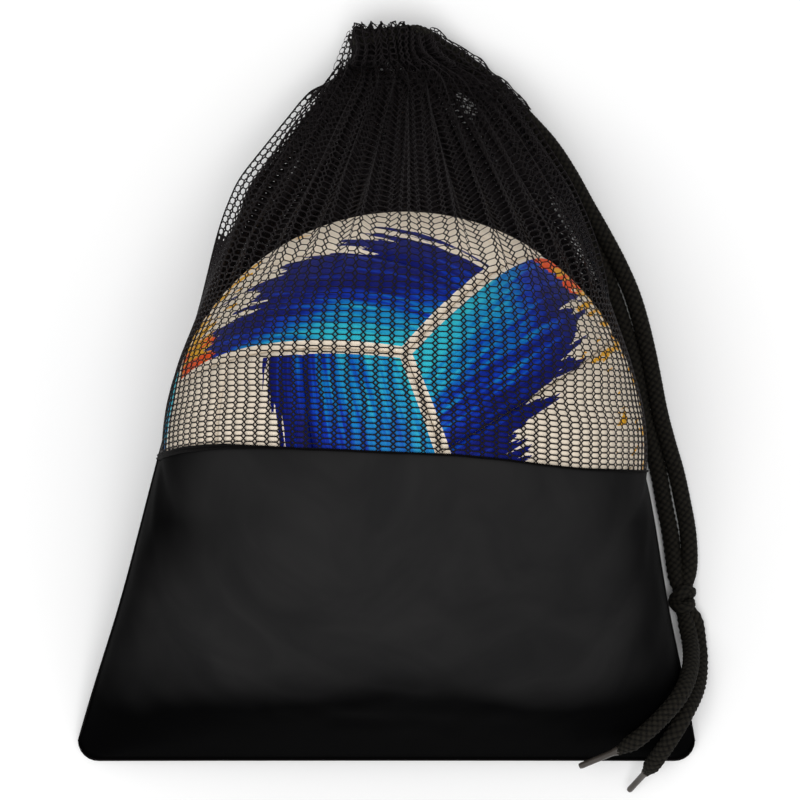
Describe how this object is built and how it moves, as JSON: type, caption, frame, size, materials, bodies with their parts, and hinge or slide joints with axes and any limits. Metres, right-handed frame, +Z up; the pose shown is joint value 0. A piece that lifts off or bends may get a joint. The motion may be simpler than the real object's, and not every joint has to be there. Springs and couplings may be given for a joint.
{
  "type": "volleyball in drawstring bag",
  "caption": "Volleyball of curved strip panels packed in a soft carry bag with a glossy base, an open net top, a gathered mouth and a knotted drawcord; the ball slides out of the bag.",
  "frame": {"origin": "on the surface the bag lies on, straight below the middle of the ball", "axes": "+X across the bag, +Y from its bottom edge to its mouth, +Z up"},
  "size_m": [0.2913, 0.3541, 0.2142],
  "materials": {
    "cover_blue": "dimpled synthetic leather, satin, printed in blues",
    "cover_white": "dimpled synthetic leather, satin, warm white with bright accents",
    "lining": "woven backing cloth",
    "bladder": "butyl rubber",
    "valve": "moulded rubber",
    "vinyl": "black coated cloth, soft gloss",
    "net": "knitted black net, matte",
    "seam": "sewn black tape, matte",
    "cord": "braided black cord, matte",
    "tip": "moulded grey-brown plastic"
  },
  "bodies": {
    "bag": {"base_front": "vinyl", "base_back": "vinyl", "waist_seam_front": "seam", "waist_seam_back": "seam", "side_seam_left": "seam", "side_seam_right": "seam", "bottom_seam": "seam", "net_front": "net", "net_back": "net", "hem_front": "net", "hem_back": "net", "drawcord_in_hem": "cord", "drawcord_outer": "cord", "drawcord_inner": "cord", "drawcord_knot": "cord", "drawcord_tail_long": "cord", "drawcord_tail_short": "cord", "cord_tip_long": "tip", "cord_tip_short": "tip"},
    "ball": {"panel_x1_1": "cover_blue", "panel_x1_2": "cover_white", "panel_x1_3": "cover_blue", "panel_x2_1": "cover_blue", "panel_x2_2": "cover_white", "panel_x2_3": "cover_blue", "panel_y1_1": "cover_blue", "panel_y1_2": "cover_white", "panel_y1_3": "cover_blue", "panel_y2_1": "cover_blue", "panel_y2_2": "cover_white", "panel_y2_3": "cover_blue", "panel_z1_1": "cover_blue", "panel_z1_2": "cover_white", "panel_z1_3": "cover_blue", "panel_z2_1": "cover_blue", "panel_z2_2": "cover_white", "panel_z2_3": "cover_blue", "lining": "lining", "bladder": "bladder", "valve": "valve"}
  },
  "joints": [
    {"name": "ball_out", "type": "slide", "parent": "bag", "child": "ball", "axis": [0, 1, 0], "range_m": [0, 0.32], "deforming": ["base_front", "base_back", "waist_seam_front", "waist_seam_back", "net_front", "net_back", "side_seam_left", "side_seam_right", "bottom_seam", "hem_front", "hem_back", "drawcord_in_hem", "drawcord_outer", "drawcord_inner"]}
  ]
}
